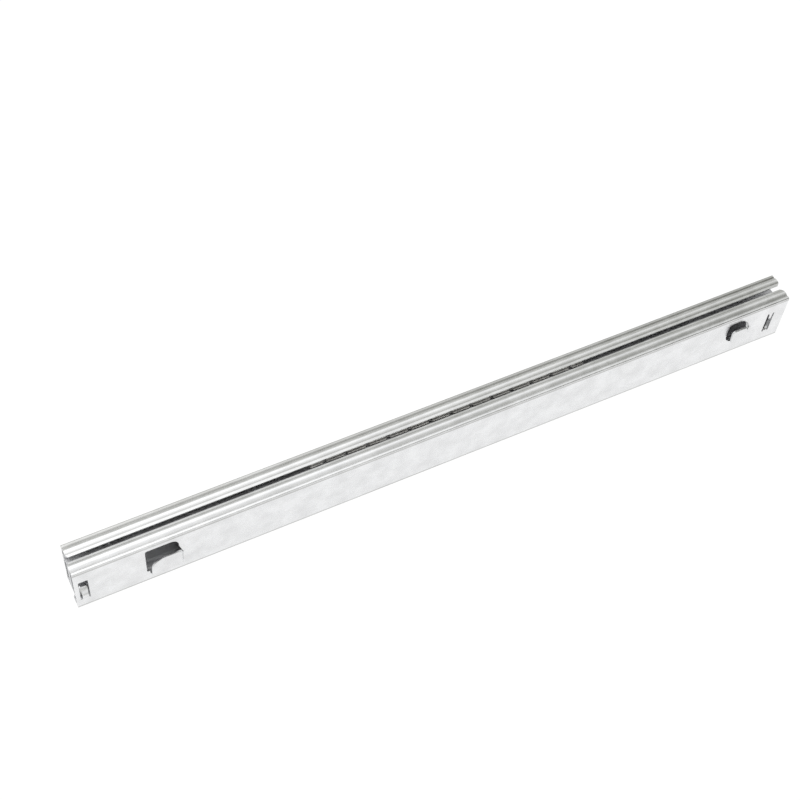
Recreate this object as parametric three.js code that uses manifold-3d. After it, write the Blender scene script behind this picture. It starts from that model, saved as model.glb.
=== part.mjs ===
// Three-section ball-bearing drawer slide with hook-in tabs, closed.
// Millimetres. +X points to the rear, +Y from the cabinet side to the drawer side, +Z up.
// The origin is the middle of the cabinet channel's outer (mounting) face.
// Two outer channels face each other. Between them stand two inner channels, riveted back to
// back, and balls in a sheet-steel retainer run top and bottom between each inner and outer pair.
// Every piece is described from the cabinet side, and the drawer side is its mirror image.
import * as THREE from 'three';
import { mergeVertices } from 'three/addons/utils/BufferGeometryUtils.js';
import Module from 'manifold-3d';

const wasm = await Module();
wasm.setup();

// ---- driving dimensions ----
const LENGTH = 450; // outer channels
const HEIGHT = 35; // over the raceways
const DEPTH = 20; // from one mounting face to the other
const SHEET = 1.2; // channel steel
const DRAWER_SETBACK = 1; // the closed drawer channel sits this much further back

// raceway, seen along X: one ball between an outer groove above it and an inner groove below
const BALL_RADIUS = 2.38;
const GROOVE_RADIUS = 2.45;
const RACE_RADIUS = GROOVE_RADIUS + SHEET;
const BALL_Y = 5;
const BALL_Z = HEIGHT / 2 - RACE_RADIUS;
const LEDGE_DROP = 0.6; // flat ledge beside the raceway, below its crown
const VALLEY_DROP = 0.36; // shallow valley between the ledge and the bead over the balls
const VALLEY_SIDE = 0.6; // from the ledge's edge down to the valley's floor, along Y
const VALLEY_FLOOR = 0.3; // from there to the bead
const BEND_DEPTH = 0.8; // outside bend of the outer channels, along Y
const BEND_HEIGHT = 1.6; // and along Z
const BEND_RADIUS = 1.5; // outside radius of the inner channels' bends
const BEAD_START_ANGLE = 128; // ends of the bead, from the +Y direction
const BEAD_END_ANGLE = 56;
const GROOVE_START_TRIM = 2; // the groove inside the bead ends these angles away from it
const GROOVE_END_TRIM = 8;
const LIP_EDGE_Y = 8.5; // the lip flares from the bead to here
const LIP_SLOPE = 12;
const LIP_BEVEL = 0.2; // the lip's inner edge stops this far short of its outer one

// inner channels
const INNER_FRONT = 0.6; // from the front end of the cabinet channel
const INNER_REAR = 447;
const WEB_GAP = 0.05; // between each inner web and the middle plane
const GROOVE_NEAR_ANGLE = 45; // reach of the inner groove from straight below the ball
const GROOVE_FAR_ANGLE = 40;
const STOP_EAR = { y: 6.35, width: 1.1, height: 2.2, thickness: 1.2 };
const CABINET_EAR_X = 443.7; // stops on the inner channels, from the cabinet channel's front end
const DRAWER_EAR_X = 24.3;

// rivets through both inner webs
const RIVET_STATIONS = [60, 170, 280, 390];
const RIVET_RADIUS = 2;
const RIVET_HEAD = { radius: 3.6, height: 0.8, bevelRadius: 0.5, bevelHeight: 0.4 };
const RIVET_PLAY = 0.05;
const HEAD_GAP = 0.02; // between a rivet head and the inner web

// ball retainers
const STRIP = 0.5; // retainer steel
const STRIP_Y = 1.5; // outer face of the retainer's web
const STRIP_BEND = 0.8; // outside radius from the retainer's web to its wings
const WING_EDGE_Y = 9.2;
const BALL_PITCH = 13;
const WING_MARGIN = 8.5; // from the last ball to the end of the wing
const POCKET_RADIUS = 2.5;
const NOTCH = { width: 2.6, depth: 1 };
const CABINET_RETAINER = { centre: 225.25, balls: 16, tongue: 0 };
const DRAWER_RETAINER = { centre: 224.7, balls: 13, tongue: 14 };
const TONGUE = { halfHeight: 6, corner: 2 }; // ends of a retainer's web that reach past its wings
const BALL_STEP = 2; // every second ball is a solid of its own

// hooks and holes in the outer webs: X from the front end, Z from the middle height
const STAND_OFF = 3.3; // outer face of a hook from the mounting face
const JOGGLE = 2.6; // height of the ramp at a hook's foot
const CABINET_HOOKS = [
  {
    left: 40.8, right: 57.4, bottom: -7.4, top: 5.9, corner: 8.2, ramp: 2.2,
    window: { left: 39, right: 57.3, bottom: -7.4, top: 12.5, radii: [0.8, 1, 4.5, 1] },
  },
  {
    left: 409.2, right: 420.2, bottom: -2.2, top: 7.9, corner: 1.8, ramp: 5.4,
    window: { left: 408, right: 421.6, bottom: -5, top: 11.9, radii: [6.4, 1, 7, 2.4] },
  },
];
const DRAWER_HOOKS = [
  {
    left: 20.4, right: 32.4, bottom: -5, top: 6.6, corner: 2, ramp: 2.2,
    window: { left: 19.4, right: 32.7, bottom: -5, top: 9.6, radii: [0.6, 1, 3, 1.4] },
  },
  {
    left: 399, right: 409, bottom: -4.6, top: 2.2, corner: 2, ramp: 4.8,
    window: { left: 398, right: 410.2, bottom: -7.4, top: 6.9, radii: [4.8, 1, 5.6, 2.2] },
  },
];
const DRAWER_HOLES = [{ x: 51.6, z: -0.8, radius: 2.1 }, { x: 377.7, z: -0.8, radius: 2.1 }];

// stops lanced out of each outer web: a tongue in front, and behind it a narrow strap between two
// slits. A profile gives how far the stop dips inwards, from its lower end up, as [Z, dip].
const FRONT_STOP = {
  left: 2.3, right: 7.5, bottom: -9.5, top: 7.5, slit: 0.3,
  profile: [[-10, 0], [-9.5, 0], [-8, -0.5], [-6.4, -0.9], [-4.8, -0.5], [-3, 1], [-1.8, 2.1], [-1.2, 2.3]],
};
const REAR_STOP = {
  left: 437, right: 441.7, bottom: -8.4, top: 7.8, slit: 1.05,
  profile: [[-8.9, 0], [-8.2, 0], [-6.6, 1.3], [-5, 2.8], [-1, 2.8], [1.2, 1.3], [3.4, 0], [8.3, 0]],
};

// ---- shapes ----
const rad = THREE.MathUtils.degToRad;

function arc(cx, cy, radius, from, to, steps) {
  const points = [];
  for (let i = 0; i <= steps; i += 1) {
    const angle = rad(from + ((to - from) * i) / steps);
    points.push([cx + radius * Math.cos(angle), cy + radius * Math.sin(angle)]);
  }
  return points;
}

function shapeOf(points) {
  return new THREE.Shape(points.map(([x, y]) => new THREE.Vector2(x, y)));
}

const SQUARE = 0.01; // a corner left square

// radii: bottom left, bottom right, top right, top left
function roundedRect(left, right, bottom, top, radii) {
  const [bl, br, tr, tl] = radii;
  const steps = (radius) => Math.max(2, Math.round(radius * 1.2));
  return shapeOf([
    ...arc(left + bl, bottom + bl, bl, 180, 270, steps(bl)),
    ...arc(right - br, bottom + br, br, 270, 360, steps(br)),
    ...arc(right - tr, top - tr, tr, 0, 90, steps(tr)),
    ...arc(left + tl, top - tl, tl, 90, 180, steps(tl)),
  ]);
}

// a (Y, Z) section swept from x0 to x1
function alongX(shape, x0, x1) {
  const geometry = new THREE.ExtrudeGeometry(shape, { depth: x1 - x0, bevelEnabled: false });
  const basis = new THREE.Matrix4().makeBasis(
    new THREE.Vector3(0, 1, 0),
    new THREE.Vector3(0, 0, 1),
    new THREE.Vector3(1, 0, 0),
  );
  return geometry.applyMatrix4(basis).translate(x0, 0, 0);
}

// an (X, Z) outline swept from y0 to y1
function alongY(shape, y0, y1) {
  const geometry = new THREE.ExtrudeGeometry(shape, { depth: y1 - y0, bevelEnabled: false });
  return geometry.rotateX(Math.PI / 2).translate(0, y1, 0);
}

function box(x0, x1, y0, y1, z0, z1) {
  const geometry = new THREE.BoxGeometry(x1 - x0, y1 - y0, z1 - z0);
  return geometry.translate((x0 + x1) / 2, (y0 + y1) / 2, (z0 + z1) / 2);
}

function solid(geometry) {
  geometry.deleteAttribute('normal');
  geometry.deleteAttribute('uv');
  const merged = mergeVertices(geometry, 1e-4);
  const vertProperties = new Float32Array(merged.attributes.position.array);
  const triVerts = new Uint32Array(merged.index.array);
  return new wasm.Manifold(new wasm.Mesh({ numProp: 3, vertProperties, triVerts }));
}

function geometryOf(manifold) {
  const { vertProperties, triVerts } = manifold.getMesh();
  const geometry = new THREE.BufferGeometry();
  geometry.setAttribute('position', new THREE.BufferAttribute(new Float32Array(vertProperties), 3));
  geometry.setIndex(new THREE.BufferAttribute(new Uint32Array(triVerts), 1));
  return geometry;
}

// the same piece on the drawer side: depth is reversed, so each triangle is turned over
function mirrored(geometry) {
  const copy = geometry.clone();
  const position = copy.attributes.position;
  for (let i = 0; i < position.count; i += 1) {
    position.setY(i, DEPTH - position.getY(i));
  }
  const index = copy.index.array;
  for (let i = 0; i < index.length; i += 3) {
    [index[i + 1], index[i + 2]] = [index[i + 2], index[i + 1]];
  }
  return copy;
}

// points of the upper half, from the middle height up, continued by their mirror image below
function symmetricSection(upperOutside, upperInside) {
  const flip = (points) => points.map(([y, z]) => [y, -z]);
  return shapeOf([
    ...flip(upperOutside).reverse(),
    ...upperOutside,
    ...upperInside,
    ...flip(upperInside).reverse(),
  ]);
}

// ---- outer channels ----
function outerSection() {
  const ledge = HEIGHT / 2 - LEDGE_DROP;
  const under = ledge - SHEET;
  const bend = [0, 30, 60, 90].map((angle) => [
    BEND_DEPTH * (1 - Math.cos(rad(angle))),
    ledge - BEND_HEIGHT * (1 - Math.sin(rad(angle))),
  ]);
  const bead = arc(BALL_Y, BALL_Z, RACE_RADIUS, BEAD_START_ANGLE, BEAD_END_ANGLE, 8);
  const grooveEnd = BEAD_END_ANGLE - GROOVE_END_TRIM;
  const grooveStart = BEAD_START_ANGLE + GROOVE_START_TRIM;
  const groove = arc(BALL_Y, BALL_Z, GROOVE_RADIUS, grooveEnd, grooveStart, 8);
  const [rootY, rootZ] = bead[bead.length - 1];
  const lipZ = rootZ - (LIP_EDGE_Y - rootY) * Math.tan(rad(LIP_SLOPE));
  const valleyY = bead[0][0] - VALLEY_FLOOR;
  const valley = [[valleyY - VALLEY_SIDE, ledge], [valleyY, ledge - VALLEY_DROP]];
  const outside = [...bend, ...valley, ...bead, [LIP_EDGE_Y, lipZ]];
  const inside = [[LIP_EDGE_Y - LIP_BEVEL, lipZ - SHEET], ...groove, [SHEET, under]];
  return symmetricSection(outside, inside);
}

function between(value, low, high) {
  return THREE.MathUtils.smoothstep(value, low, high);
}

// how far the web is pushed out at a point of a hook: ramps at its rear edge and at its foot
function hookOffset(hook, x, z) {
  const rear = 1 - between(x, hook.right, hook.right + hook.ramp);
  const foot = between(z, hook.bottom - JOGGLE, hook.bottom);
  return STAND_OFF * rear * foot;
}

function hookPanel(hook) {
  const steps = [0, 0.2, 0.4, 0.6, 0.8, 1];
  const overlap = 0.4;
  const end = hook.right + hook.ramp;
  const xs = [hook.left, ...steps.map((share) => hook.right + hook.ramp * share), end + overlap];
  const foot = hook.bottom - JOGGLE;
  const zs = [foot - overlap, ...steps.map((share) => foot + JOGGLE * share), hook.top];
  const columns = xs.length;
  const rows = zs.length;
  const face = columns * rows;
  const positions = [];
  for (const inward of [0, SHEET]) {
    for (const z of zs) {
      for (const x of xs) {
        positions.push(x, inward - hookOffset(hook, x, z), z);
      }
    }
  }
  const at = (side, row, column) => side * face + row * columns + column;
  const indices = [];
  const quad = (a, b, c, d) => indices.push(a, b, c, a, c, d);
  for (let r = 0; r + 1 < rows; r += 1) {
    for (let c = 0; c + 1 < columns; c += 1) {
      quad(at(0, r, c), at(0, r, c + 1), at(0, r + 1, c + 1), at(0, r + 1, c));
      quad(at(1, r, c), at(1, r + 1, c), at(1, r + 1, c + 1), at(1, r, c + 1));
    }
  }
  for (let c = 0; c + 1 < columns; c += 1) {
    quad(at(0, 0, c), at(1, 0, c), at(1, 0, c + 1), at(0, 0, c + 1));
    quad(at(0, rows - 1, c), at(0, rows - 1, c + 1), at(1, rows - 1, c + 1), at(1, rows - 1, c));
  }
  for (let r = 0; r + 1 < rows; r += 1) {
    quad(at(0, r, 0), at(0, r + 1, 0), at(1, r + 1, 0), at(1, r, 0));
    quad(at(0, r, columns - 1), at(1, r, columns - 1), at(1, r + 1, columns - 1), at(0, r + 1, columns - 1));
  }
  const geometry = new THREE.BufferGeometry();
  geometry.setAttribute('position', new THREE.Float32BufferAttribute(positions, 3));
  geometry.setIndex(indices);
  const radii = [SQUARE, SQUARE, SQUARE, hook.corner];
  const outline = roundedRect(hook.left, end + 2 * overlap, foot - 2 * overlap, hook.top, radii);
  const trim = solid(alongY(outline, -2 * STAND_OFF, 2 * STAND_OFF));
  return solid(geometry).intersect(trim);
}

function cutThroughWeb(outline) {
  return solid(alongY(outline, -SHEET, 2 * SHEET));
}

function addHook(web, hook) {
  const { left, right, bottom, top, radii } = hook.window;
  const window = cutThroughWeb(roundedRect(left, right, bottom, top, radii));
  const end = hook.right + hook.ramp;
  const behind = solid(box(hook.left, end, -SHEET, 2 * SHEET, hook.bottom - JOGGLE, hook.top));
  return web.subtract(window).subtract(behind).add(hookPanel(hook));
}

// an opening with a strip left standing in it, which follows the stop's profile
function addStop(web, stop) {
  const corner = stop.slit > 0.5 ? stop.slit / 2 : 1;
  const outline = roundedRect(stop.left, stop.right, stop.bottom, stop.top, Array(4).fill(corner));
  const face = stop.profile.map(([z, dip]) => [dip, z]);
  const back = stop.profile.map(([z, dip]) => [dip + SHEET, z]).reverse();
  const strip = alongX(shapeOf([...face, ...back]), stop.left + stop.slit, stop.right - stop.slit);
  return web.subtract(cutThroughWeb(outline)).add(solid(strip));
}

function outerChannel(hooks, holes) {
  let channel = solid(alongX(outerSection(), 0, LENGTH));
  for (const hook of hooks) {
    channel = addHook(channel, hook);
  }
  for (const hole of holes) {
    const outline = shapeOf(arc(hole.x, hole.z, hole.radius, 0, 342, 19));
    channel = channel.subtract(cutThroughWeb(outline));
  }
  channel = addStop(channel, FRONT_STOP);
  channel = addStop(channel, REAR_STOP);
  return geometryOf(channel);
}

// ---- inner channels ----
const INNER_WEB_Y = DEPTH / 2 - WEB_GAP; // back face of the cabinet-side inner web
const FLANGE_Z = BALL_Z - GROOVE_RADIUS * Math.cos(rad(GROOVE_FAR_ANGLE));

function innerSection() {
  const bendY = INNER_WEB_Y - BEND_RADIUS;
  const bendZ = FLANGE_Z - BEND_RADIUS;
  const far = 270 + GROOVE_FAR_ANGLE;
  const near = 270 - GROOVE_NEAR_ANGLE;
  const outside = [
    ...arc(bendY, bendZ, BEND_RADIUS, 0, 90, 4),
    ...arc(BALL_Y, BALL_Z, GROOVE_RADIUS, far, near, 7),
  ];
  const underFar = 270 + GROOVE_FAR_ANGLE * 0.85;
  const inside = [
    ...arc(BALL_Y, BALL_Z, RACE_RADIUS, near, underFar, 7),
    ...arc(bendY, bendZ, BEND_RADIUS - SHEET, 90, 0, 2),
  ];
  return symmetricSection(outside, inside);
}

function innerChannel(earX) {
  let channel = solid(alongX(innerSection(), INNER_FRONT, INNER_REAR));
  for (const x of RIVET_STATIONS) {
    const hole = shapeOf(arc(x, 0, RIVET_RADIUS + RIVET_PLAY, 0, 337.5, 15));
    channel = channel.subtract(solid(alongY(hole, INNER_WEB_Y - 2 * SHEET, INNER_WEB_Y + SHEET)));
  }
  const { y, width, height, thickness } = STOP_EAR;
  for (const side of [-1, 1]) {
    const foot = FLANGE_Z - SHEET / 2;
    const low = side > 0 ? foot : -foot - SHEET / 2 - height;
    const high = low + SHEET / 2 + height;
    const x = earX - thickness / 2;
    const ear = box(x, x + thickness, y - width / 2, y + width / 2, low, high);
    channel = channel.add(solid(ear));
  }
  return geometryOf(channel);
}

// ---- rivets: a shank through both webs with a flat head on each side ----
function rivet(x) {
  const half = DEPTH / 2 - (INNER_WEB_Y - SHEET) + HEAD_GAP;
  const { radius, height, bevelRadius, bevelHeight } = RIVET_HEAD;
  const profile = [
    [0, -half - height],
    [radius - bevelRadius, -half - height],
    [radius, -half - height + bevelHeight],
    [radius, -half],
    [RIVET_RADIUS, -half],
    [RIVET_RADIUS, half],
    [radius, half],
    [radius, half + height - bevelHeight],
    [radius - bevelRadius, half + height],
    [0, half + height],
  ];
  const lathe = new THREE.LatheGeometry(profile.map(([r, h]) => new THREE.Vector2(r, h)), 16);
  return lathe.translate(x, DEPTH / 2, 0);
}

// ---- ball retainers ----
function ballStations({ centre, balls }) {
  return Array.from({ length: balls }, (_, i) => centre + (i - (balls - 1) / 2) * BALL_PITCH);
}

function ballRetainer(retainer) {
  const top = BALL_Z + STRIP / 2;
  const bendY = STRIP_Y + STRIP_BEND;
  const bendZ = top - STRIP_BEND;
  const outside = [...arc(bendY, bendZ, STRIP_BEND, 180, 90, 3), [WING_EDGE_Y, top]];
  const inside = [
    [WING_EDGE_Y, top - STRIP],
    ...arc(bendY, bendZ, STRIP_BEND - STRIP, 90, 180, 2),
  ];
  const stations = ballStations(retainer);
  const front = stations[0] - WING_MARGIN;
  const rear = stations[stations.length - 1] + WING_MARGIN;
  let strip = solid(alongX(symmetricSection(outside, inside), front, rear));
  for (const x of stations) {
    const pocket = new THREE.CylinderGeometry(POCKET_RADIUS, POCKET_RADIUS, HEIGHT, 14);
    pocket.rotateX(Math.PI / 2).translate(x, BALL_Y, 0);
    strip = strip.subtract(solid(pocket));
    const half = NOTCH.width / 2;
    const inner = WING_EDGE_Y - NOTCH.depth;
    strip = strip.subtract(solid(box(x - half, x + half, inner, WING_EDGE_Y + 1, -HEIGHT, HEIGHT)));
  }
  if (retainer.tongue > 0) {
    const reach = retainer.tongue;
    const { halfHeight, corner } = TONGUE;
    const radii = Array(4).fill(corner);
    const outline = roundedRect(front - reach, rear + reach, -halfHeight, halfHeight, radii);
    strip = strip.add(solid(alongY(outline, STRIP_Y, STRIP_Y + STRIP)));
  }
  return geometryOf(strip);
}

function ball(x, row) {
  const sphere = new THREE.SphereGeometry(BALL_RADIUS, 10, 7);
  return sphere.rotateX(Math.PI / 2).translate(x, BALL_Y, row * BALL_Z);
}

// ---- materials ----
function steel(color, roughness) {
  return new THREE.MeshStandardMaterial({ color, metalness: 1, roughness });
}
const zincPlate = () => steel(0xc9cccf, 0.34);
const brightStrip = () => steel(0xd6d5cf, 0.3);
const ballSteel = () => steel(0xe2e3e5, 0.12);
const rivetSteel = () => steel(0xb9bcc0, 0.4);

// ---- the assembly: X runs from the front end until the whole group is centred ----
const slide = new THREE.Group();
slide.name = 'drawer_slide';

function place(name, geometry, material, setback = 0) {
  const mesh = new THREE.Mesh(geometry, material);
  mesh.name = name;
  mesh.position.x = setback - LENGTH / 2;
  slide.add(mesh);
}

function indexed(geometry) {
  geometry.deleteAttribute('normal');
  geometry.deleteAttribute('uv');
  return mergeVertices(geometry, 1e-4);
}

place('cabinet_channel', outerChannel(CABINET_HOOKS, []), zincPlate());
place('drawer_channel', mirrored(outerChannel(DRAWER_HOOKS, DRAWER_HOLES)), zincPlate(), DRAWER_SETBACK);
place('cabinet_inner_channel', innerChannel(CABINET_EAR_X), zincPlate());
place('drawer_inner_channel', mirrored(innerChannel(DRAWER_EAR_X)), zincPlate());
RIVET_STATIONS.forEach((x, i) => place(`channel_rivet_${i + 1}`, indexed(rivet(x)), rivetSteel()));

const retainers = [
  { side: 'cabinet', retainer: CABINET_RETAINER, facing: (geometry) => geometry },
  { side: 'drawer', retainer: DRAWER_RETAINER, facing: mirrored },
];
for (const { side, retainer, facing } of retainers) {
  place(`${side}_ball_retainer`, facing(ballRetainer(retainer)), brightStrip());
  const stations = ballStations(retainer);
  for (const [rowName, row] of [['top', 1], ['bottom', -1]]) {
    for (let i = 0; i < stations.length; i += BALL_STEP) {
      const name = `${side}_${rowName}_ball_${String(i + 1).padStart(2, '0')}`;
      place(name, facing(indexed(ball(stations[i], row))), ballSteel());
    }
  }
}

export default slide;
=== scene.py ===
import math

import bmesh
import bpy
from mathutils import Matrix, Vector
from mathutils.geometry import delaunay_2d_cdt

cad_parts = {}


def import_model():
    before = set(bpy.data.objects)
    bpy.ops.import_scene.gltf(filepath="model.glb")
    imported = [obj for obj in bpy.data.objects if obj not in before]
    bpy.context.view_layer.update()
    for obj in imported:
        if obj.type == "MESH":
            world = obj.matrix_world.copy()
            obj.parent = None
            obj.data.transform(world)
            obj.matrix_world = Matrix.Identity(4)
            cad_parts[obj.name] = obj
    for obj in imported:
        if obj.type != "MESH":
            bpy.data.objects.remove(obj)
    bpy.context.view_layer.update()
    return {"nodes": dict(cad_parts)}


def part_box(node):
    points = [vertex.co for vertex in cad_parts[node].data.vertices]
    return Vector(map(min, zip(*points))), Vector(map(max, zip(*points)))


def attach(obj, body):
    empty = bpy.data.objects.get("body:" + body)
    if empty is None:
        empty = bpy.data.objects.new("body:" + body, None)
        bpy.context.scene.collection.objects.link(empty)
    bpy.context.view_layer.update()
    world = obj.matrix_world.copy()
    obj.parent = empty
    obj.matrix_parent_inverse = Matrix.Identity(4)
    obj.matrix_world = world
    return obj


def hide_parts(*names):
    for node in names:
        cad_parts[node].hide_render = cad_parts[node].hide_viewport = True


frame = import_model()

# ---- sizes from the frame, in millimetres; X is counted from the cabinet channel's front end ----
MM = 0.001
cabinet_low, cabinet_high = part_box("cabinet_channel")
drawer_low, drawer_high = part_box("drawer_channel")
inner_low, inner_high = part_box("cabinet_inner_channel")
FRONT = cabinet_low.x / MM
LENGTH = (cabinet_high.x - cabinet_low.x) / MM
HEIGHT = 35.0
STAND_OFF = -cabinet_low.y / MM  # how far the hooks stand out of the web
DEPTH = drawer_high.y / MM - STAND_OFF
SETBACK = (drawer_low.x - cabinet_low.x) / MM
INNER_SPAN = (inner_low.x / MM - FRONT, inner_high.x / MM - FRONT)

# ---- sheet and raceway sizes, as in the CAD model ----
SHEET = 1.2
RIM = 0.16  # eased edge of every cut, along the sheet
EASE = 0.8  # and through it, as a share of RIM
CLOSE = 1e-3  # two points this near are taken as one
SHEET_SHARP = 25  # degrees: steeper edges are shaded sharp
BALL_RADIUS = 2.38
GROOVE_RADIUS = 2.45
RACE_RADIUS = GROOVE_RADIUS + SHEET
BALL_Y = 5.0
BALL_Z = HEIGHT / 2 - RACE_RADIUS
LEDGE_DROP = 0.6
BEND_DEPTH = 0.8  # outer bend, along Y
BEND_HEIGHT = 1.6  # and along Z
BEND_RADIUS = 1.5  # inner channels
BEND_SPREAD = 0.25  # how far the bend reaches along Y on the inside
BEND_LIFT = 0.1  # and how much higher it starts there
VALLEY = (  # between ledge and bead: Y outside, drop below the ledge, Y inside
    (1.7, 0.0, 2.0),
    (2.0, 0.09, 2.3),
    (2.2, 0.25, 2.6),
    (2.37, 0.36, 2.8),
    (2.52, 0.33, 3.1),
)
BEAD_OUTSIDE = (128, 56)  # degrees above the horizontal, from the valley to the lip
BEAD_INSIDE = (130, 48)
LIP_ROOT = ((0.12, 1.25), (0.3, 1.22))  # steps along Y from the bead, and the sheet's height there
LIP_EDGE_Y = 8.5
LIP_SLOPE = 12.0
LIP_LEAN = 0.2  # how far the inside lags behind the outside, along Y
CORNER = 2.2  # rounded corners of the lips at both ends
INNER_WEB_Y = DEPTH / 2 - 0.05
FLANGE_Z = BALL_Z - GROOVE_RADIUS * math.cos(math.radians(40))
INNER_CORNER = 1.0
INNER_GROOVE = (310, 228)  # degrees, from the bend to the free edge
INNER_BACK = (306, 228)
EAR_STATIONS = {"cabinet": 443.7, "drawer": 24.3}
EAR_Y = 6.35
EAR_HALF_WIDTH = 0.55
EAR_HALF_THICKNESS = 0.6
EAR_FOOT = 0.6  # below the top of the bend, inside the raceway's metal
EAR_RISE = 2.2  # above it
EAR_ROUND = 0.3

# ---- hooks, stops and holes in the outer webs: X, and Z from the middle height ----
JOGGLE = 2.6  # height of the ramp at a hook's foot
HOOK_SLIT = 0.16  # gap along a hook's sheared edges
STOP_ROUND = 1.0
STOP_SLACK = 0.05  # width of doubt when a point lies on a stop's edge
# left, right, bottom, top, corner: the raised part and its rounded upper front corner
# ramp: length of the slope behind it; tail: how far below the top the cut behind it ends
# pull: how much further forward the raised part sits than the metal it came from
# window: its lower front, upper front and upper rear corners; radii: their rounding, in that order
CABINET_HOOKS = (
    dict(left=40.8, right=57.4, bottom=-7.4, top=5.9, corner=8.2, ramp=2.2, tail=6.8, pull=0.0,
         window=((39.0, -7.4), (39.0, 12.5), (57.3, 12.5)), radii=(0.8, 1.0, 4.5)),
    dict(left=411.0, right=422.0, bottom=-2.2, top=7.9, corner=1.8, ramp=3.6, tail=5.6, pull=1.8,
         window=((408.0, -5.0), (408.0, 11.9), (421.6, 11.9)), radii=(6.4, 2.4, 7.0)),
)
DRAWER_HOOKS = (
    dict(left=20.4, right=32.4, bottom=-5, top=6.6, corner=2, ramp=2.2, tail=5, pull=0.0,
         window=((19.4, -5), (19.4, 9.6), (32.7, 9.6)), radii=(0.6, 1.4, 3)),
    dict(left=400.6, right=410.6, bottom=-4.6, top=2.2, corner=2, ramp=3.2, tail=4.5, pull=1.6,
         window=((398, -7.4), (398, 6.9), (410.2, 6.9)), radii=(4.8, 2.2, 5.6)),
)
DRAWER_HOLES = ((51.6, -0.8, 2.1), (377.7, -0.8, 2.1))  # X, Z, radius
# front stop: a tongue that ends at tip, in a window up to top; rear stop: a strap from bottom to top
FRONT_STOP = dict(left=2.3, right=7.5, bottom=-9.5, top=7.5, slit=0.3, tip=-1.2, swell=0.9, dip=2.4)
REAR_STOP = dict(left=437.0, right=441.7, bottom=-8.4, top=7.8, slit=1.05, dip=2.8)

# ---- rivets and ball retainers ----
RIVET_STATIONS = (60, 170, 280, 390)
RIVET_HOLE_RADIUS = 2.05
RETAINERS = {
    "cabinet": dict(centre=225.25, balls=16, tongue=0),
    "drawer": dict(centre=224.7, balls=13, tongue=14),
}
STRIP = 0.5
STRIP_BEND = 0.8
STRIP_Y = 1.5
WING_EDGE_Y = 9.2
NOTCH_HALF = 1.3  # notches in the wing's edge, one at each ball
NOTCH_FLOOR_HALF = 0.9
NOTCH_DEPTH = 1
NOTCH_ROUND = 0.4
TONGUE_HALF = 6
TONGUE_ROUND = 2
BALL_PITCH = 13.0
WING_MARGIN = 8.5
POCKET_RADIUS = 2.5

# ---- painted shade lines on the outer section, darkening the fold, the valley and the lip's root: Y, height, half width, strength ----
FOLD_SHADE_LINES = ((0.0, 15.55, 0.85, 0.62), (2.4, 16.55, 0.6, 0.3), (7.0, 16.85, 0.5, 0.4))
LEDGE_PAINTED_SHADE = (1.2, 16.9, 2.0, 0.6)  # a band of painted shade that dims the whole ledge, on the drawer channel only


# ---- plane geometry ----
def arc(cx, cy, radius, start, end, steps):
    """Points of an arc between two angles in degrees."""
    angles = [math.radians(start + (end - start) * i / steps) for i in range(steps + 1)]
    return [(cx + radius * math.cos(a), cy + radius * math.sin(a)) for a in angles]


def smooth(value, low, high):
    """0 below low, 1 above high, and an S-shaped rise between."""
    t = min(1.0, max(0.0, (value - low) / (high - low)))
    return t * t * (3 - 2 * t)


def inside(point, loop):
    """Whether a point lies in a closed outline."""
    x, y = point
    result = False
    for (x0, y0), (x1, y1) in zip(loop, loop[1:] + loop[:1]):
        if (y0 > y) != (y1 > y) and x < x0 + (y - y0) * (x1 - x0) / (y1 - y0):
            result = not result
    return result


def area(loop):
    """Signed area of a closed outline, positive when it runs anticlockwise."""
    return sum(x0 * y1 - x1 * y0 for (x0, y0), (x1, y1) in zip(loop, loop[1:] + loop[:1])) / 2


def grown(loop, distance):
    """The outline moved outwards by a distance, corner by corner."""
    sign = 1 if area(loop) > 0 else -1
    count = len(loop)
    result = []
    for i, point in enumerate(loop):
        here = Vector(point)
        before = (here - Vector(loop[i - 1])).normalized()
        after = (Vector(loop[(i + 1) % count]) - here).normalized()
        normal = Vector((before.y + after.y, -before.x - after.x)).normalized()
        miter = max(0.5, normal.dot(Vector((before.y, -before.x))))
        moved = here + normal * sign * distance / miter
        result.append((moved.x, moved.y))
    return result


def distinct(points):
    """Drops points that repeat their neighbour."""
    kept = []
    for p in points:
        if not kept or math.dist(p, kept[-1]) > CLOSE:
            kept.append(p)
    if math.dist(kept[0], kept[-1]) <= CLOSE:
        kept.pop()
    return kept


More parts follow.
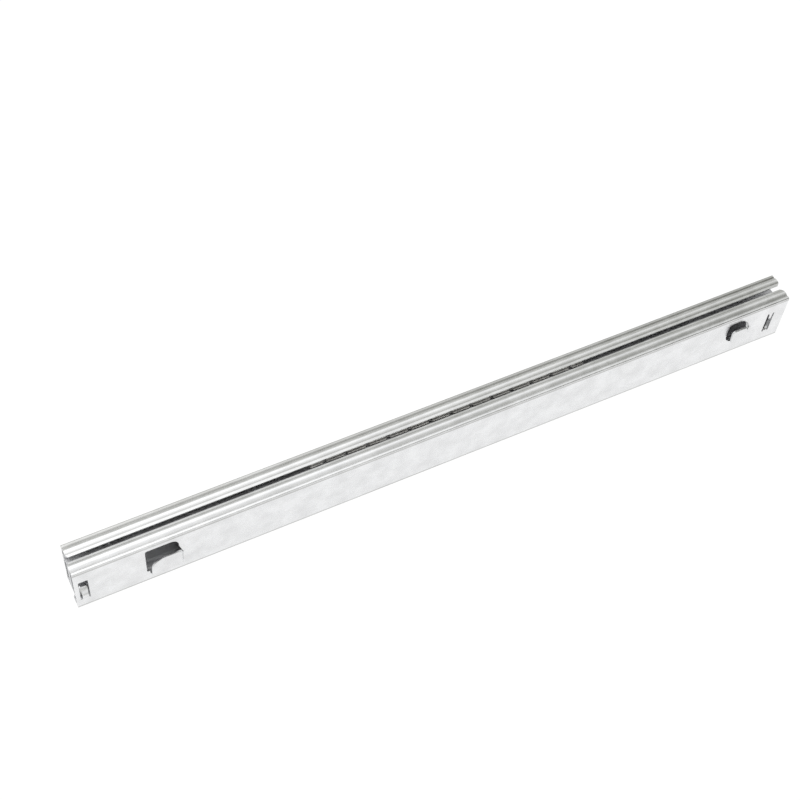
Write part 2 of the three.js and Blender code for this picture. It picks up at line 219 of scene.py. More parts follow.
# ---- formed sheet metal ----
class Sheet:
    """Collects the faces of one piece of formed sheet, in local millimetres."""

    def __init__(self):
        self.verts = []
        self.faces = []

    def add(self, points):
        first = len(self.verts)
        self.verts.extend(points)
        return list(range(first, len(self.verts)))

    def plate(self, border, holes, seeds, place, joined, rim_lines):
        """Fills an outline with holes on both sides of the sheet, and closes its free edges.

        place gives a point's (outer, inner) positions, and joined tells whether an edge needs no
        closing. Without rim_lines the edges of the holes stay sharp.
        """
        coords = []
        edges = []

        def loop(points):
            first = len(coords)
            coords.extend(points)
            edges.extend((first + i, first + (i + 1) % len(points)) for i in range(len(points)))

        def key(point):
            return (round(point[0], 3), round(point[1], 3))

        loop(border)
        rims = set()
        for hole in holes:
            loop(hole)
            rims.update(key(p) for p in hole)
            if rim_lines is not None:
                loop(grown(hole, RIM))
        for u, low, high in rim_lines or ():
            first = len(coords)
            coords.extend([(u, low), (u, high)])
            edges.append((first, first + 1))
        coords.extend(seeds)
        found = delaunay_2d_cdt([Vector(p) for p in coords], edges, [], 0, 1e-5)
        points, triangles = found[0], found[2]
        kept = []
        for tri in triangles:
            centre = sum((points[i] for i in tri), Vector((0, 0))) / 3
            if inside(centre, border) and not any(inside(centre, h) for h in holes):
                kept.append(tri)
        sides = {}
        for tri in kept:
            for i in tri:
                if i not in sides:
                    u, v = points[i]
                    outer, inner = place(u, v, key((u, v)) in rims)
                    sides[i] = self.add([outer, inner])
        count = {}
        for tri in kept:
            self.faces.append([sides[i][0] for i in tri])
            self.faces.append([sides[i][1] for i in reversed(tri)])
            for a, b in zip(tri, tri[1:] + tri[:1]):
                edge = (min(a, b), max(a, b))
                count[edge] = count.get(edge, 0) + 1
        for (a, b), uses in count.items():
            if uses == 1 and not joined((points[a] + points[b]) / 2):
                self.faces.append([sides[a][0], sides[b][0], sides[b][1], sides[a][1]])

    def sweep(self, ladder, stations, corner):
        """Runs a section along X: ladder holds its (outer, inner) pairs from web to free edge."""
        spans = [0.0]
        for (a, _), (b, _) in zip(ladder, ladder[1:]):
            spans.append(spans[-1] + math.dist(a, b))
        last = len(stations) - 1
        rows = []
        for pair, (outer, inner) in enumerate(ladder):
            to_edge = spans[-1] - spans[pair]
            inset = 0.0
            if to_edge < corner:
                inset = corner - math.sqrt(corner**2 - (corner - to_edge) ** 2)
            low = stations[0] + inset
            high = stations[-1] - inset
            xs = [low, *(min(max(x, low + RIM), high - RIM) for x in stations[1:-1]), high]
            row = []
            through = (Vector(inner) - Vector(outer)).normalized() * RIM * EASE
            for number, x in enumerate(xs):
                ease = through if number in (0, last) else Vector((0, 0))
                row.append(self.add([
                    (x, outer[0] + ease.x, outer[1] + ease.y),
                    (x, inner[0] - ease.x, inner[1] - ease.y),
                ]))
            rows.append(row)
        for row, following in zip(rows, rows[1:]):
            for j in range(last):
                for side in (0, 1):
                    near, far = row[j][side], row[j + 1][side]
                    quad = [near, far, following[j + 1][side], following[j][side]]
                    self.faces.append(quad if side == 0 else quad[::-1])
            for j in (0, last):
                self.faces.append([row[j][0], following[j][0], following[j][1], row[j][1]])
        for j in range(last):
            edge = rows[-1]
            self.faces.append([edge[j][0], edge[j + 1][0], edge[j + 1][1], edge[j][1]])

    def mesh(self, name, shift, mirror):
        """The collected faces as one object, in the frame's metres; mirror swaps the two sides."""
        def world(point):
            x, y, z = point
            return Vector((x + FRONT + shift, DEPTH - y if mirror else y, z)) * MM

        data = bpy.data.meshes.new(name)
        data.from_pydata([world(p) for p in self.verts], [], self.faces)
        work = bmesh.new()
        work.from_mesh(data)
        bmesh.ops.remove_doubles(work, verts=work.verts, dist=2e-6)
        bmesh.ops.dissolve_degenerate(work, edges=work.edges, dist=1e-7)
        bmesh.ops.recalc_face_normals(work, faces=work.faces)
        work.to_mesh(data)
        work.free()
        data.shade_smooth()
        data.set_sharp_from_angle(angle=math.radians(SHEET_SHARP))
        piece = bpy.data.objects.new(name, data)
        bpy.context.scene.collection.objects.link(piece)
        return piece


def both_halves(sheet, ladder, stations, corner):
    """The rolled edge above the web and its mirror image below."""
    sheet.sweep(ladder, stations, corner)
    lower = [((yo, -zo), (yi, -zi)) for (yo, zo), (yi, zi) in ladder]
    sheet.sweep(lower, stations, corner)


def free_edge(ladder):
    """Eases the last pair of a ladder, so that the cut edge is not a knife edge."""
    (outer0, inner0), (outer, inner) = ladder[-2], ladder[-1]
    along = (Vector(outer) + Vector(inner) - Vector(outer0) - Vector(inner0)).normalized()
    through = (Vector(inner) - Vector(outer)).normalized()
    end_outer = Vector(outer) + along * RIM + through * RIM * EASE
    end_inner = Vector(inner) + along * RIM - through * RIM * EASE
    return ladder + [(tuple(end_outer), tuple(end_inner))]


def length_stations(start, end):
    """X positions along a channel: its eased ends, and even steps between them."""
    step = 30.0
    margin = 4
    span = end - start - 2 * margin
    count = int(span // step)
    middle = [start + margin + span * i / count for i in range(count + 1)]
    return [start, start + RIM, *middle, end - RIM, end]


# ---- outer channels ----
def outer_ladder():
    """Upper half of the section: bend, ledge, valley, bead over the balls, and the flared lip."""
    ledge = HEIGHT / 2 - LEDGE_DROP
    under = ledge - SHEET
    fold_z = ledge - BEND_HEIGHT
    pairs = []
    steps = 8
    for step in range(steps + 1):
        t = math.radians(90 * step / steps)
        outer = (BEND_DEPTH * (1 - math.cos(t)), fold_z + BEND_HEIGHT * math.sin(t))
        inner_z = fold_z + BEND_LIFT + (under - fold_z - BEND_LIFT) * math.sin(t)
        inner = (SHEET + BEND_SPREAD * (1 - math.cos(t)), min(under, inner_z))
        pairs.append((outer, inner))
    pairs += [((outer_y, ledge - drop), (inner_y, under)) for outer_y, drop, inner_y in VALLEY]
    pairs += list(zip(
        arc(BALL_Y, BALL_Z, RACE_RADIUS, *BEAD_OUTSIDE, 24),
        arc(BALL_Y, BALL_Z, GROOVE_RADIUS, *BEAD_INSIDE, 24),
    ))
    (root_y, root_z), _ = pairs[-1]
    lip = [(root_y + step, below) for step, below in LIP_ROOT] + [(LIP_EDGE_Y, SHEET)]
    for y, below in lip:
        z = root_z - (y - root_y) * math.tan(math.radians(LIP_SLOPE))
        pairs.append(((y, z), (y - LIP_LEAN, z - below)))
    return free_edge(pairs)


def hook_hole(hook):
    """The opening around a hook: its window, the cut behind it, and back along its free edges."""
    (left, bottom), (_, top), (right, _) = hook["window"]
    low, front, rear = hook["radii"]
    corner = hook["corner"]
    edge, crown = hook["left"], hook["top"]
    foot = hook["bottom"] - JOGGLE
    tail = (hook["right"] + hook["ramp"], crown - hook["tail"])
    slit = HOOK_SLIT
    outline = [
        *arc(left + front, top - front, front, 180, 90, 8),
        *arc(right - rear, top - rear, rear, 90, 0, 12),
        (right, crown + 0.4),
        (tail[0] + slit / 2, tail[1]),
        (tail[0] - slit / 2, tail[1]),
        (hook["right"] - slit / 2, crown - slit),
        *arc(edge + corner, crown - corner, corner, 90, 180, 12),
    ]
    low_corner = arc(left + low, bottom + low, low, 270, 180, 10)
    if hook["pull"]:  # the front edge slants down to the window's lower edge, past its corner's start
        outline += [(edge + 0.5, hook["bottom"] + 2.0), (edge + 1.7, bottom + 0.1)]
        outline.append((edge + 1.5, bottom))
        low_corner = low_corner[3:]
    else:
        outline += [(edge, hook["bottom"]), (edge, foot), (edge - slit, foot), (edge - slit, bottom)]
    return distinct(outline + low_corner)


def hook_push(hook, x, z):
    """How far the web stands out at a point of a hook, as a share of the whole."""
    crown = hook["top"]
    slack = 0.02
    if x < hook["left"] - slack or z > crown + slack:
        return 0.0
    along = (x - hook["right"]) / hook["ramp"]
    if along > 0 and z > crown - hook["tail"] * along:
        return 0.0
    rear = 1 - smooth(along, 0, 1)
    foot = smooth(z, hook["bottom"] - JOGGLE, hook["bottom"])
    return rear * foot


def hook_seeds(hook):
    """An even grid of points over a hook, so that its ramps come out smooth."""
    seeds = []
    columns = 34
    rows = 30
    x0, x1 = hook["left"] - 1, hook["right"] + hook["ramp"] + 2
    z0, z1 = hook["bottom"] - JOGGLE - 2, hook["top"] + 2
    for i in range(columns + 1):
        for j in range(rows + 1):
            seeds.append((x0 + (x1 - x0) * i / columns, z0 + (z1 - z0) * j / rows))
    return seeds


def front_stop_hole():
    """A U-shaped cut that frees a tongue at its top and sides."""
    s = FRONT_STOP
    slit = s["slit"]
    r = STOP_ROUND
    return distinct([
        (s["left"], s["bottom"]),
        *arc(s["left"] + r, s["top"] - r, r, 180, 90, 6),
        *arc(s["right"] - r, s["top"] - r, r, 90, 0, 6),
        (s["right"], s["bottom"]),
        (s["right"] - slit, s["bottom"]),
        *arc(s["right"] - slit - r, s["tip"] - r, r, 0, 90, 5),
        *arc(s["left"] + slit + r, s["tip"] - r, r, 90, 180, 5),
        (s["left"] + slit, s["bottom"]),
    ])


def on_stop(stop, x):
    """Whether X lies between a stop's two slits."""
    low = stop["left"] + stop["slit"] - STOP_SLACK
    high = stop["right"] - stop["slit"] + STOP_SLACK
    return low <= x <= high


def front_stop_push(x, z):
    """The tongue first swells outwards, then dips inwards at its tip."""
    s = FRONT_STOP
    if not on_stop(s, x) or not s["bottom"] <= z <= s["tip"] + STOP_SLACK:
        return 0.0
    swell = s["swell"] * math.sin(math.pi * smooth(z, s["bottom"], s["bottom"] + 6.5))
    dip = s["dip"] * smooth(z, s["bottom"] + 4.2, s["tip"] + 0.6)
    return swell - dip


def rear_stop_holes():
    """Two slits that leave a narrow strap between them."""
    s = REAR_STOP
    slit = s["slit"]
    r = slit / 2
    holes = []
    for left in (s["left"], s["right"] - slit):
        holes.append(distinct([
            *arc(left + r, s["top"] - r, r, 180, 0, 8),
            *arc(left + r, s["bottom"] + r, r, 0, -180, 8),
        ]))
    return holes


def rear_stop_push(x, z):
    """The strap dips inwards between its two roots."""
    s = REAR_STOP
    if not on_stop(s, x):
        return 0.0
    return -s["dip"] * smooth(z, s["bottom"] + 0.2, s["bottom"] + 3.4) * (1 - smooth(z, -1.0, 3.4))


def stop_seeds():
    """An even grid of points over the two stops."""
    seeds = []
    rows = 40
    for stop, columns in ((FRONT_STOP, 7), (REAR_STOP, 5)):
        width = stop["right"] - stop["left"] - 2 * stop["slit"]
        height = stop["top"] - stop["bottom"] + 2
        for i in range(columns + 1):
            for j in range(rows + 1):
                x = stop["left"] + stop["slit"] + width * i / columns
                seeds.append((x, stop["bottom"] - 1 + height * j / rows))
    return seeds


def clear_seeds(seeds, holes):
    """Seeds that lie on metal, and not too close to an edge."""
    outlines = [(hole, grown(hole, RIM)) for hole in holes]
    reach = 30  # an outline further away than this along X can't be near
    clearance = 0.28
    kept = []
    for seed in seeds:
        near = False
        for hole, ring in outlines:
            if abs(hole[0][0] - seed[0]) > reach:
                continue
            if inside(seed, hole) or min(math.dist(seed, p) for p in ring + hole) < clearance:
                near = True
                break
        if not near:
            kept.append(seed)
    return kept


def outer_channel(name, hooks, holes, shift, mirror):
    """A channel with its hooks, stops and round holes."""
    sheet = Sheet()
    ladder = outer_ladder()
    stations = length_stations(0, LENGTH)
    both_halves(sheet, ladder, stations, CORNER)
    top = ladder[0][0][1]
    border = [(x, -top) for x in stations] + [(x, top) for x in reversed(stations)]
    cuts = [hook_hole(h) for h in hooks] + [front_stop_hole()] + rear_stop_holes()
    cuts += [distinct(arc(x, z, radius, 0, 360, 36)) for x, z, radius in holes]
    seeds = [seed for hook in hooks for seed in hook_seeds(hook)] + stop_seeds()
    seeds = clear_seeds(seeds, cuts)

    def place(x, z, rim):
        out = front_stop_push(x, z) + rear_stop_push(x, z)
        for hook in hooks:
            share = hook_push(hook, x, z)
            if share > 0:
                out += STAND_OFF * share
                x -= hook["pull"] * share
        ends = min(x, LENGTH - x) < RIM / 2
        ease = RIM * EASE if rim or ends else 0.0
        return (x, ease - out, z), (x, SHEET - ease - out, z)

    def joined(point):
        return abs(abs(point.y) - top) < CLOSE

    rim_lines = [(RIM, -top, top), (LENGTH - RIM, -top, top)]
    sheet.plate(border, cuts, seeds, place, joined, rim_lines)
    return sheet.mesh(name, shift, mirror)


# ---- inner channels ----
def inner_ladder():
    """Upper half of the section: bend, and the raceway that cups the balls from below."""
    bend_y = INNER_WEB_Y - BEND_RADIUS
    bend_z = FLANGE_Z - BEND_RADIUS
    pairs = list(zip(
        arc(bend_y, bend_z, BEND_RADIUS, 0, 90, 8),
        arc(bend_y, bend_z, BEND_RADIUS - SHEET, 0, 90, 8),
    ))
    pairs += list(zip(
        arc(BALL_Y, BALL_Z, GROOVE_RADIUS, *INNER_GROOVE, 20),
        arc(BALL_Y, BALL_Z, RACE_RADIUS, *INNER_BACK, 20),
    ))
    return free_edge(pairs)


def inner_channel(name, ear_x, mirror):
    """Half of the intermediate member, with its rivet holes and two stop ears."""
    sheet = Sheet()
    ladder = inner_ladder()
    start, end = INNER_SPAN
    stations = length_stations(start, end)
    both_halves(sheet, ladder, stations, INNER_CORNER)
    top = ladder[0][0][1]
    border = [(x, -top) for x in stations] + [(x, top) for x in reversed(stations)]
    cuts = [distinct(arc(x, 0, RIVET_HOLE_RADIUS, 0, 360, 24)) for x in RIVET_STATIONS]

    def place(x, z, rim):
        ends = min(x - start, end - x) < RIM / 2
        ease = RIM * EASE if rim or ends else 0.0
        return (x, INNER_WEB_Y - ease, z), (x, INNER_WEB_Y - SHEET + ease, z)

    def joined(point):
        return abs(abs(point.y) - top) < CLOSE

    rim_lines = [(start + RIM, -top, top), (end - RIM, -top, top)]
    sheet.plate(border, cuts, [], place, joined, rim_lines)
    for side in (-1, 1):
        stop_ear(sheet, ear_x, side)
    return sheet.mesh(name, 0.0, mirror)


def stop_ear(sheet, x, side):
    """A small lug bent up out of the raceway, with rounded shoulders."""
    low, high = FLANGE_Z - EAR_FOOT, FLANGE_Z + EAR_RISE
    left, right = EAR_Y - EAR_HALF_WIDTH, EAR_Y + EAR_HALF_WIDTH
    r = EAR_ROUND
    outline = [(left, low), (right, low)]
    outline += arc(right - r, high - r, r, 0, 90, 4)
    outline += arc(left + r, high - r, r, 90, 180, 4)
    rings = []
    for end in (x - EAR_HALF_THICKNESS, x + EAR_HALF_THICKNESS):
        rings.append(sheet.add([(end, y, side * z) for y, z in outline]))
    count = len(outline)
    for i in range(count):
        j = (i + 1) % count
        sheet.faces.append([rings[0][i], rings[0][j], rings[1][j], rings[1][i]])
    sheet.faces.append(rings[0])
    sheet.faces.append(rings[1][::-1])


# ---- ball retainers ----
def ball_stations(retainer):
    """X of every ball in a row."""
    first = retainer["centre"] - (retainer["balls"] - 1) / 2 * BALL_PITCH
    return [first + i * BALL_PITCH for i in range(retainer["balls"])]


def notch(x):
    """Outline of the small cut in a wing's free edge beside the ball at X."""
    r = NOTCH_ROUND
    floor = WING_EDGE_Y - NOTCH_DEPTH + r
    return [
        (x + NOTCH_HALF, WING_EDGE_Y),
        *arc(x + NOTCH_FLOOR_HALF, floor, r, 0, -90, 3),
        *arc(x - NOTCH_FLOOR_HALF, floor, r, 270, 180, 3),
        (x - NOTCH_HALF, WING_EDGE_Y),
    ]


def ball_retainer(name, retainer, mirror):
    """A strip bent to a channel: two wings with a pocket for every ball, and the web between them."""
    sheet = Sheet()
    bend = STRIP_BEND
    top = BALL_Z + STRIP / 2
    stations = ball_stations(retainer)
    front, rear = stations[0] - WING_MARGIN, stations[-1] + WING_MARGIN
    xs = [front, *stations, rear]
    ladder = list(zip(
        arc(STRIP_Y + bend, top - bend, bend, 180, 90, 6),
        arc(STRIP_Y + bend, top - bend, bend - STRIP, 180, 90, 6),
    ))
    flat = top - bend
    wing_y = STRIP_Y + bend
    for side in (1, -1):
        rows = []
        for (yo, zo), (yi, zi) in ladder:
            rows.append([sheet.add([(x, yo, side * zo), (x, yi, side * zi)]) for x in xs])
        for row, following in zip(rows, rows[1:]):
            for j in range(len(xs) - 1):
                for s in (0, 1):
                    near, far = row[j][s], row[j + 1][s]
                    sheet.faces.append([near, far, following[j + 1][s], following[j][s]])
            for j in (0, len(xs) - 1):
                sheet.faces.append([row[j][0], following[j][0], following[j][1], row[j][1]])
        wing_border = [(x, wing_y) for x in xs] + [(rear, WING_EDGE_Y)]
        for x in reversed(stations):
            wing_border += notch(x)
        wing_border.append((front, WING_EDGE_Y))
        pockets = [distinct(arc(x, BALL_Y, POCKET_RADIUS, 0, 360, 28)) for x in stations]

        def place_wing(x, y, _rim, side=side):
            return (x, y, side * top), (x, y, side * (top - STRIP))

        def at_bend(point):
            return abs(point.y - wing_y) < CLOSE

        sheet.plate(distinct(wing_border), pockets, [], place_wing, at_bend, None)
    reach = retainer["tongue"]
    half = TONGUE_HALF
    r = TONGUE_ROUND
    straight = half - r
    border = [(x, -flat) for x in xs]
    if reach:
        tip = rear + reach - r
        border += [(rear, -half), *arc(tip, -straight, r, 270, 360, 5)]
        border += arc(tip, straight, r, 0, 90, 5)
        border.append((rear, half))
    border += [(x, flat) for x in reversed(xs)]
    if reach:
        tip = front - reach + r
        border += [(front, half), *arc(tip, straight, r, 90, 180, 5)]
        border += arc(tip, -straight, r, 180, 270, 5)
        border.append((front, -half))

    def place_web(x, z, _rim):
        return (x, STRIP_Y, z), (x, STRIP_Y + STRIP, z)

    def at_wing(point):
        return abs(abs(point.y) - flat) < CLOSE

    sheet.plate(distinct(border), [], [], place_web, at_wing, None)
    return sheet.mesh(name, 0.0, mirror)


# ---- turned pieces ----
def rivet(name, x):
    """A shank with a domed head on one side and a flattened one on the other."""
    reach = DEPTH / 2 - (INNER_WEB_Y - SHEET - 0.02)
    head = 3.6
    shank = 2.0
    dome = 0.65
    rim = 0.15
    profile = [(0.0, -reach - (rim + dome))]
    for angle in (0.4, 0.7, 1.0, 1.25, 1.45, 1.57):
        profile.append((head * math.sin(angle), -reach - rim - dome * math.cos(angle)))
    profile += [(head, -reach), (shank, -reach), (shank, reach), (3.5, reach), (head, reach + 0.2)]
    profile += [(3.45, reach + 0.5), (3.1, reach + 0.68), (1.2, reach + 0.76), (0.0, reach + 0.72)]
    steps = 40
    work = bmesh.new()
    rings = []
    for radius, height in profile:
        ring = []
        for step in range(steps if radius > 0 else 1):
            turn = math.tau * step / steps
            side, up = radius * math.cos(turn), radius * math.sin(turn)
            ring.append(work.verts.new(Vector((FRONT + x + side, DEPTH / 2 + height, up)) * MM))
        rings.append(ring)
    for ring, following in zip(rings, rings[1:]):
        for step in range(steps):
            near = [ring[i % len(ring)] for i in (step, step + 1)]
            far = [following[i % len(following)] for i in (step + 1, step)]
            work.faces.new(list(dict.fromkeys(near + far)))  # a triangle where a ring is one point
    bmesh.ops.recalc_face_normals(work, faces=work.faces)
    return finished(work, name, 30)


def finished(work, name, sharp):
    """Turns the working mesh into an object; edges above an angle in degrees stay sharp."""
    data = bpy.data.meshes.new(name)
    work.to_mesh(data)
    work.free()
    data.shade_smooth()
    data.set_sharp_from_angle(angle=math.radians(sharp))
    piece = bpy.data.objects.new(name, data)
    bpy.context.scene.collection.objects.link(piece)
    return piece


def ball(name, x, row, mirror):
    """One ball; row is 1 at the top and -1 at the bottom."""
    y = DEPTH - BALL_Y if mirror else BALL_Y
    work = bmesh.new()
    bmesh.ops.create_icosphere(work, subdivisions=4, radius=BALL_RADIUS * MM)
    bmesh.ops.translate(work, verts=work.verts, vec=Vector((FRONT + x, y, row * BALL_Z)) * MM)
    return finished(work, name, 60)


# ---- materials; scales are in patterns per metre, depths in metres ----
CLOUD_SCALE = 90.0
GRAIN_SCALE = 900.0
ROLLING_SCALE = 2600.0
SCRATCH_SCALE = 700.0
WAVE_SCALE = 22.0
WAVE_DEPTH = 0.0006
RELIEF_DEPTH = 0.00004
FILM_DEPTH = 0.00003
STRIP_LINE_SCALE = 3000.0
STRIP_SPOT_SCALE = 260.0
FILM_SCALE = 500.0
# the painted shade along the outer channels' folds: size of its patches, and its grey
SHADE_PATCH_SCALE = 60.0
PAINTED_SHADE_GREY = (0.30, 0.30, 0.28)
ZINC_ROUGH = 0.24


class Nodes:
    """A short way to write the node tree of a material or of the world."""

    def __init__(self, owner, shader="Principled BSDF"):
        owner.use_nodes = True
        self.owner = owner
        self.tree = owner.node_tree
        self.shader = self.tree.nodes[shader]

    def add(self, kind, inputs=(), **settings):
        node = self.tree.nodes.new(kind)
        for key, value in settings.items():
            setattr(node, key, value)
        for key, value in dict(inputs).items():
            if isinstance(value, bpy.types.NodeSocket):
                self.tree.links.new(value, node.inputs[key])
            else:
                node.inputs[key].default_value = value
        return node

    def link(self, output, key):
        self.tree.links.new(output, self.shader.inputs[key])

    def object_place(self, shift=(0.0, 0.0, 0.0)):
        """The point in the piece's own metres, shifted so that pieces don't share a pattern."""
        place = self.add("ShaderNodeTexCoord").outputs["Object"]
        return self.add("ShaderNodeMapping", {"Vector": place, "Location": shift}).outputs["Vector"]

    def noise(self, vector, scale, detail, rough):
        inputs = {"Vector": vector, "Scale": scale, "Detail": detail, "Roughness": rough}
        return self.add("ShaderNodeTexNoise", inputs).outputs["Fac"]

    def stretched(self, vector, scale):
        return self.add("ShaderNodeMapping", {"Vector": vector, "Scale": scale}).outputs["Vector"]

    def ramp(self, value, low, high, out_low, out_high):
        """Maps low..high to out_low..out_high, and holds the end values beyond."""
        inputs = {"Value": value, "From Min": low, "From Max": high}
        inputs.update({"To Min": out_low, "To Max": out_high})
        return self.add("ShaderNodeMapRange", inputs).outputs["Result"]

    def math(self, operation, a, b=0.0):
        return self.add("ShaderNodeMath", {0: a, 1: b}, operation=operation).outputs[0]

    def mix(self, factor, a, b):
        """Mixes two colours. Its sockets share their names with others, so they go by number."""
        first, second, result = 6, 7, 2
        node = self.add("ShaderNodeMix", {0: factor}, data_type="RGBA")
        for number, value in ((first, a), (second, b)):
            if isinstance(value, bpy.types.NodeSocket):
                self.tree.links.new(value, node.inputs[number])
            else:
                node.inputs[number].default_value = (*value, 1.0)
        return node.outputs[result]

    def bump(self, height, strength, distance, normal=None):
        inputs = {"Height": height, "Strength": strength, "Distance": distance}
        if normal is not None:
            inputs["Normal"] = normal
        return self.add("ShaderNodeBump", inputs).outputs["Normal"]


def fold_painted_shade(n, mirror):
    """How much painted shade darkens the fold, the valley and the lip's root, in patches."""
    place = n.add("ShaderNodeTexCoord").outputs["Object"]
    _, y, z = n.add("ShaderNodeSeparateXYZ", {0: place}).outputs
    if mirror:
        y = n.math("SUBTRACT", DEPTH * MM, y)
    height = n.math("ABSOLUTE", z)
    total = None
    # the drawer channel also gets the band of painted shade over its ledge
    for fold_y, fold_z, width, strength in FOLD_SHADE_LINES + ((LEDGE_PAINTED_SHADE,) if mirror else ()):
        across = n.math("SUBTRACT", y, fold_y * MM)
        above = n.math("SUBTRACT", height, fold_z * MM)
        square = n.math("ADD", n.math("MULTIPLY", across, across), n.math("MULTIPLY", above, above))
        core = width * 0.3
        line = n.ramp(n.math("SQRT", square), core * MM, width * MM, strength, 0.0)
        total = line if total is None else n.math("ADD", total, line)
    patches = n.noise(n.stretched(place, (0.3, 1.0, 1.0)), SHADE_PATCH_SCALE, 3.0, 0.6)
    shade_amount = n.math("MULTIPLY", total, n.ramp(patches, 0.3, 0.6, 0.65, 1.0))
    return n.math("MINIMUM", shade_amount, 0.9)


def zinc(name, tone, seed, rough, mirror=None):
    """Bright zinc plate on cold-rolled strip: soft clouds, rolling lines along X and fine scratches.

    mirror is set on the two outer channels only, which carry painted shade along their folds.
    """
    n = Nodes(bpy.data.materials.new(name))
    place = n.object_place((seed, seed * 0.7, seed * 1.3))
    clouds = n.noise(place, CLOUD_SCALE, 4.0, 0.6)
    grain = n.noise(place, GRAIN_SCALE, 3.0, 0.6)
    lines = n.noise(n.stretched(place, (0.04, 1.0, 1.0)), ROLLING_SCALE, 2.0, 0.7)
    scratch = n.noise(n.stretched(place, (0.12, 1.0, 0.5)), SCRATCH_SCALE, 4.0, 0.75)
    pale = tuple(min(1.0, c * 1.05) for c in tone)
    dull = tuple(c * 0.9 for c in tone)
    warm = (tone[0] * 0.99, tone[1] * 0.98, tone[2] * 0.93)
    colour = n.mix(n.ramp(clouds, 0.35, 0.65, 0.0, 1.0), dull, pale)
    colour = n.mix(n.ramp(grain, 0.45, 0.8, 0.0, 0.5), colour, warm)
    if mirror is not None:
        # painted shade: darkens the colour at the fold, in the valley and at the lip's root
        colour = n.mix(fold_painted_shade(n, mirror), colour, PAINTED_SHADE_GREY)
    n.link(colour, "Base Color")
    n.shader.inputs["Metallic"].default_value = 1.0
    base = n.ramp(clouds, 0.3, 0.7, rough - 0.05, rough + 0.08)
    n.link(n.math("ADD", base, n.ramp(scratch, 0.5, 0.75, 0.0, 0.12)), "Roughness")
    relief = n.math("ADD", n.math("MULTIPLY", lines, 0.5), n.math("MULTIPLY", scratch, 0.8))
    relief = n.math("ADD", relief, n.math("MULTIPLY", grain, 0.4))
    waves = n.bump(n.noise(place, WAVE_SCALE, 1.0, 0.4), 0.35, WAVE_DEPTH)
    n.link(n.bump(relief, 0.22, RELIEF_DEPTH, waves), "Normal")
    return n.owner


def strip_steel(name, tone, seed):
    """Bright rolled strip of the retainers, with burnished lines along X."""
    n = Nodes(bpy.data.materials.new(name))
    place = n.object_place((seed, seed, seed))
    lines = n.noise(n.stretched(place, (0.05, 1.0, 1.0)), STRIP_LINE_SCALE, 3.0, 0.7)
    spots = n.noise(place, STRIP_SPOT_SCALE, 4.0, 0.6)
    colour = n.mix(n.ramp(spots, 0.4, 0.7, 0.0, 1.0), tone, tuple(c * 0.82 for c in tone))
    n.link(colour, "Base Color")
    n.shader.inputs["Metallic"].default_value = 1.0
    n.link(n.ramp(lines, 0.3, 0.7, 0.42, 0.6), "Roughness")
    n.link(n.bump(lines, 0.2, RELIEF_DEPTH), "Normal")
    return n.owner


def ball_steel(name):
    """Polished bearing steel under a thin, uneven film of grease."""
    n = Nodes(bpy.data.materials.new(name))
    film = n.noise(n.add("ShaderNodeTexCoord").outputs["Object"], FILM_SCALE, 3.0, 0.6)
    colour = n.mix(n.ramp(film, 0.45, 0.7, 0.0, 1.0), (0.86, 0.87, 0.88), (0.72, 0.71, 0.66))
    n.link(colour, "Base Color")
    n.shader.inputs["Metallic"].default_value = 1.0
    n.link(n.ramp(film, 0.4, 0.75, 0.06, 0.3), "Roughness")
    n.link(n.bump(film, 0.1, FILM_DEPTH), "Normal")
    return n.owner


def dress(piece, material, slot, body, *nodes):
    """Gives a piece its material and the body it rides on, and hides the CAD nodes it stands for;
    slot is not used.
    """
    piece.data.materials.clear()
    piece.data.materials.append(material)
    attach(piece, body)
    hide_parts(*nodes)


# ---- camera, in metres and degrees ----
CAMERA_AT = Vector((-0.2903, -0.3920, 0.6925))
CAMERA_AIM = Vector((-0.0167, 0.0397, 0.0006))
CAMERA_ROLL = 6.43
SENSOR_MM = 36.0
LENS_MM = 67.87
NEAREST = 0.01
lens = bpy.data.cameras.new("camera")
lens.sensor_width = SENSOR_MM
lens.lens = LENS_MM
lens.clip_start = NEAREST
camera = bpy.data.objects.new("camera", lens)
bpy.context.scene.collection.objects.link(camera)
roll = Matrix.Rotation(math.radians(CAMERA_ROLL), 3, "Z")
turn = (CAMERA_AIM - CAMERA_AT).to_track_quat("-Z", "Y").to_matrix() @ roll
camera.matrix_world = Matrix.Translation(CAMERA_AT) @ turn.to_4x4()
bpy.context.scene.camera = camera

# ---- the pieces ----
zinc_cabinet = zinc("zinc_cabinet_channel", (0.80, 0.805, 0.815), 0.0, ZINC_ROUGH, mirror=False)
zinc_drawer = zinc("zinc_drawer_channel", (0.80, 0.805, 0.81), 3.1, ZINC_ROUGH, mirror=True)
zinc_inner = zinc("zinc_inner_channels", (0.68, 0.685, 0.70), 7.7, 0.45)

piece = outer_channel("cabinet_channel_formed", CABINET_HOOKS, (), 0.0, False)
dress(piece, zinc_cabinet, "zinc_channel", "cabinet", "cabinet_channel")
piece = outer_channel("drawer_channel_formed", DRAWER_HOOKS, DRAWER_HOLES, SETBACK, True)
dress(piece, zinc_drawer, "zinc_channel", "drawer", "drawer_channel")
for side, ear_x in EAR_STATIONS.items():
    piece = inner_channel(f"{side}_inner_channel_formed", ear_x, side == "drawer")
    dress(piece, zinc_inner, "zinc_channel", "intermediate", f"{side}_inner_channel")
rivet_finish = zinc("zinc_rivets", (0.66, 0.67, 0.69), 5.2, 0.36)
for number, x in enumerate(RIVET_STATIONS, 1):
    piece = rivet(f"channel_rivet_{number}_turned", x)
    dress(piece, rivet_finish, "rivet_steel", "intermediate", f"channel_rivet_{number}")

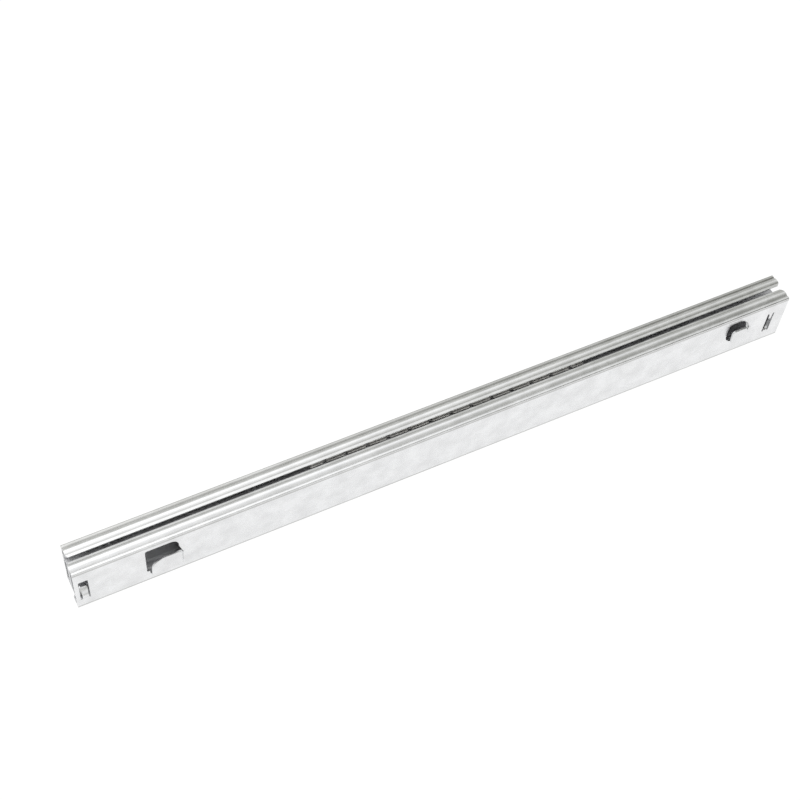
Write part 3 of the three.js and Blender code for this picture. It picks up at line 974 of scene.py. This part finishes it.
retainer_finish = strip_steel("retainer_strip", (0.93, 0.92, 0.89), 2.4)
ball_finish = ball_steel("bearing_ball")
for side, retainer in RETAINERS.items():
    mirror = side == "drawer"
    body = f"{side}_balls"
    piece = ball_retainer(f"{side}_ball_retainer_formed", retainer, mirror)
    dress(piece, retainer_finish, "retainer_strip", body, f"{side}_ball_retainer")
    for row_name, row in (("top", 1), ("bottom", -1)):
        for number, x in enumerate(ball_stations(retainer), 1):
            node = f"{side}_{row_name}_ball_{number:02d}"
            piece = ball(f"{node}_polished", x, row, mirror)
            stands_for = [node] if node in frame["nodes"] else []
            dress(piece, ball_finish, "ball_steel", body, *stands_for)


# ---- floor and light ----
def stage_floor():
    """A wide floor that glows almost white, just under the slide."""
    reach = 40.0
    level = -HEIGHT / 2 * MM
    data = bpy.data.meshes.new("studio_floor")
    corners = [(x * reach, y * reach, level) for x, y in ((-1, -1), (1, -1), (1, 1), (-1, 1))]
    data.from_pydata(corners, [], [(0, 1, 2, 3)])
    floor = bpy.data.objects.new("studio_floor", data)
    bpy.context.scene.collection.objects.link(floor)
    n = Nodes(bpy.data.materials.new("studio_floor_white"))
    n.shader.inputs["Base Color"].default_value = (0.1, 0.1, 0.1, 1.0)
    n.shader.inputs["Roughness"].default_value = 0.9
    n.shader.inputs["Specular IOR Level"].default_value = 0.0
    n.shader.inputs["Emission Color"].default_value = (1.0, 1.0, 1.0, 1.0)
    n.shader.inputs["Emission Strength"].default_value = 0.95
    data.materials.append(n.owner)


def overhead_light():
    """A weak softbox above the front end; most of the light comes from the world."""
    place = Vector((-0.55, 0.1, 1.1))
    aim = Vector((-0.05, 0.02, 0.0))
    light = bpy.data.lights.new("overhead_softbox", "AREA")
    light.shape = "RECTANGLE"
    light.size = 0.7
    light.size_y = 0.7
    light.energy = 0.6
    lamp = bpy.data.objects.new("overhead_softbox", light)
    bpy.context.scene.collection.objects.link(lamp)
    turn = (aim - place).to_track_quat("-Z", "Y").to_matrix()
    lamp.matrix_world = Matrix.Translation(place) @ turn.to_4x4()


def studio_world():
    """A pale tent: white on the left, a softbox high behind, dim low down and on the right."""
    world = bpy.data.worlds.new("studio")
    bpy.context.scene.world = world
    n = Nodes(world, "Background")
    direction = n.add("ShaderNodeTexCoord").outputs["Generated"]
    east, north, up = n.add("ShaderNodeSeparateXYZ", {0: direction}).outputs
    # how far a direction leans to the north, seen along X
    across = n.math("SUBTRACT", 1.0, n.math("MULTIPLY", east, east))
    lean = n.math("DIVIDE", north, n.math("SQRT", n.math("MAXIMUM", across, 0.01)))
    # brightness of the open side and of the backdrop, both falling from left to right
    room = n.ramp(east, 0.1, 0.52, 1.15, 0.26)
    backdrop = n.ramp(east, 0.1, 0.52, 0.60, 0.52)
    rising = n.ramp(lean, -0.3, 0.45, 0.0, 1.0)
    falling = n.ramp(lean, 0.55, 0.95, 1.0, 0.0)
    softbox = n.math("MULTIPLY", rising, falling)
    glow = n.math("ADD", room, n.math("MULTIPLY", softbox, 0.56))
    behind = n.ramp(lean, 0.56, 0.92, 0.0, 1.0)
    horizon = n.ramp(up, 0.0, 0.42, 0.28, 1.0)
    in_front = n.math("SUBTRACT", 1.0, behind)
    open_side = n.math("MULTIPLY", n.math("MULTIPLY", glow, horizon), in_front)
    level = n.math("ADD", open_side, n.math("MULTIPLY", backdrop, behind))
    tint = n.mix(n.ramp(level, 0.4, 0.95, 0.0, 1.0), (0.99, 1.0, 0.93), (1.0, 1.0, 1.0))
    n.link(tint, "Color")
    n.link(level, "Strength")


stage_floor()
studio_world()
overhead_light()
bpy.context.scene.view_settings.view_transform = "Standard"
